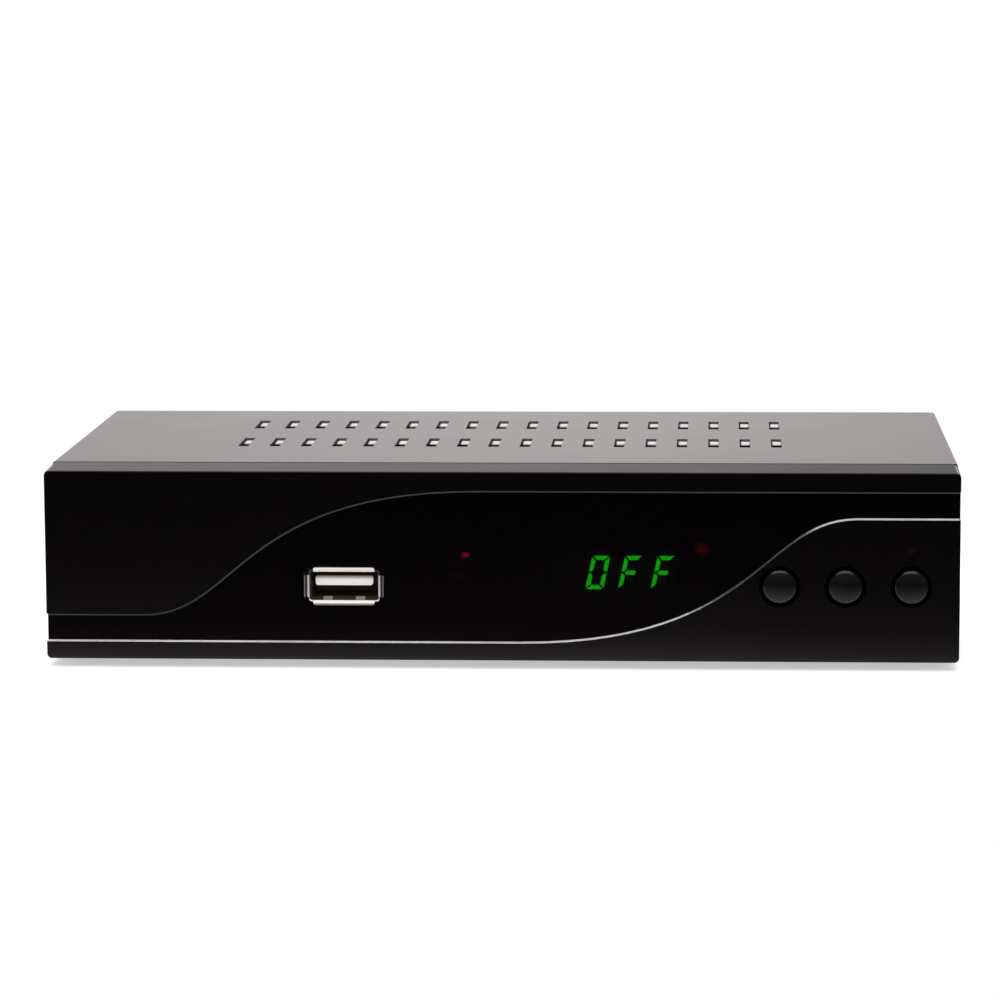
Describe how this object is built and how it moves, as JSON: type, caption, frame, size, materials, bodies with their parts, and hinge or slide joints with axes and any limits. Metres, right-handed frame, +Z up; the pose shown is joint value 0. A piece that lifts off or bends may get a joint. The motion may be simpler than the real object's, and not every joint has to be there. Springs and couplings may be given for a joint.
{
  "type": "digital tv receiver",
  "caption": "Flat black steel set-top receiver with a swept smoked front window, lit digits, round push buttons, a front USB socket, top vents and rear aerial and AV sockets.",
  "frame": {"origin": "on the ground under the middle of the bounding box", "axes": "+X to the right of someone facing the front, -Y out of the front face, +Z up"},
  "size_m": [0.168, 0.1006, 0.037],
  "materials": {
    "bezel_black": "satin black moulded plastic",
    "window_smoke": "smoked clear plastic",
    "trim_dark": "dark bevelled line",
    "trim_bright": "bright bevelled line",
    "button_black": "glossy black plastic",
    "plunger_black": "black plastic",
    "switch_steel": "tinned steel",
    "circuit_board": "green coated glass-fibre board",
    "zinc_screw": "zinc-plated steel",
    "display_black": "black display face",
    "segment_lit": "lit display segment",
    "segment_off": "dark display segment",
    "eye_dark": "dark infrared-passing plastic",
    "lamp_red": "red tinted lamp body",
    "cover_black": "gloss black paint",
    "filter_pale": "pale dust fleece",
    "chassis_black": "satin black paint",
    "foot_rubber": "black rubber",
    "black_screw": "blackened steel",
    "post_brass": "turned brass",
    "socket_steel": "nickel-plated steel",
    "insulator_white": "white plastic",
    "contact_gold": "gold-plated contact",
    "housing_black": "black connector plastic",
    "chip_black": "moulded chip package",
    "sink_aluminium": "extruded aluminium",
    "can_steel": "tinned steel can",
    "coil_grey": "ferrite",
    "capacitor_sleeve": "printed sleeve without text",
    "phono_yellow": "yellow plastic",
    "phono_white": "white plastic",
    "phono_red": "red plastic"
  },
  "bodies": {
    "receiver": {"front_bezel": "bezel_black", "display_window": "window_smoke", "upper_trim": "trim_dark", "lower_trim": "trim_bright", "switch_housings": "switch_steel", "front_board": "circuit_board", "front_board_screws": "zinc_screw", "led_display": "display_black", "lit_segments": "segment_lit", "unlit_segments": "segment_off", "infrared_receiver": "eye_dark", "indicator_leds": "lamp_red", "top_cover": "cover_black", "vent_filter": "filter_pale", "bottom_chassis": "chassis_black", "rubber_feet": "foot_rubber", "cover_screws": "black_screw", "bezel_screws": "black_screw", "board_standoffs": "post_brass", "board_screws": "zinc_screw", "main_board": "circuit_board", "usb_shell": "socket_steel", "usb_insulator": "insulator_white", "usb_contacts": "contact_gold", "header_block": "housing_black", "header_pins": "contact_gold", "processor": "chip_black", "heat_sink": "sink_aluminium", "memory_chips": "chip_black", "crystal": "can_steel", "power_inductors": "coil_grey", "capacitors": "capacitor_sleeve", "tuner_can": "can_steel", "aerial_socket": "socket_steel", "aerial_insulator": "insulator_white", "aerial_contact": "contact_gold", "loop_plug": "socket_steel", "loop_insulator": "insulator_white", "loop_pin": "contact_gold", "hdmi_shell": "socket_steel", "hdmi_tongue": "housing_black", "av_block": "housing_black", "av_barrels": "socket_steel", "av_insert_yellow": "phono_yellow", "av_insert_white": "phono_white", "av_insert_red": "phono_red", "dc_jack": "housing_black", "dc_pin": "socket_steel"},
    "channel_down": {"channel_down_button": "button_black", "channel_down_plunger": "plunger_black"},
    "channel_up": {"channel_up_button": "button_black", "channel_up_plunger": "plunger_black"},
    "power": {"power_button": "button_black", "power_plunger": "plunger_black"}
  },
  "joints": [
    {"name": "channel_down_press", "type": "slide", "parent": "receiver", "child": "channel_down", "axis": [0, 1, 0], "range_m": [0, 0.0005], "stiffness_N_per_m": 300},
    {"name": "channel_up_press", "type": "slide", "parent": "receiver", "child": "channel_up", "axis": [0, 1, 0], "range_m": [0, 0.0005], "stiffness_N_per_m": 300},
    {"name": "power_press", "type": "slide", "parent": "receiver", "child": "power", "axis": [0, 1, 0], "range_m": [0, 0.0005], "stiffness_N_per_m": 300}
  ]
}
